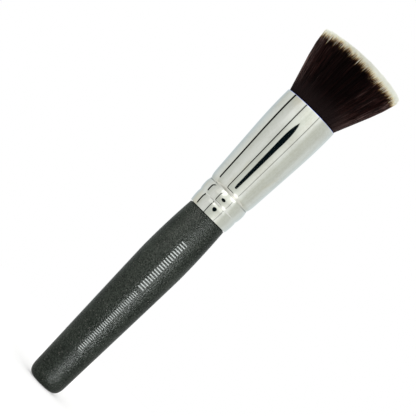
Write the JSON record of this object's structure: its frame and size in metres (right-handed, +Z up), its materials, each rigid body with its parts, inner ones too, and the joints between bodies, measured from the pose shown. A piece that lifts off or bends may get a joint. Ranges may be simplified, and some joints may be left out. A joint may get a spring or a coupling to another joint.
{
  "type": "flat top bronzer brush",
  "caption": "Flat topped makeup brush with a turned, tapered handle, a crimped metal ferrule and a flared tuft of dark bristles with pale tips.",
  "frame": {"origin": "centre of the flat face at the handle's butt, on which the brush stands", "axes": "+Z up along the brush's axis from the butt to the tuft's flat top, +X the side that the tuft leans towards"},
  "size_m": [0.038, 0.0379, 0.1724],
  "materials": {
    "handle_lacquer": "satin",
    "adhesive": "satin",
    "ferrule_metal": "polished",
    "resin": "gloss",
    "thread": "matte",
    "bristles": "matte"
  },
  "bodies": {
    "root": {"handle": "handle_lacquer", "handle_glue": "adhesive", "ferrule": "ferrule_metal", "resin_plug": "resin", "binding_thread": "thread", "bristle_tuft": "bristles"}
  },
  "joints": []
}
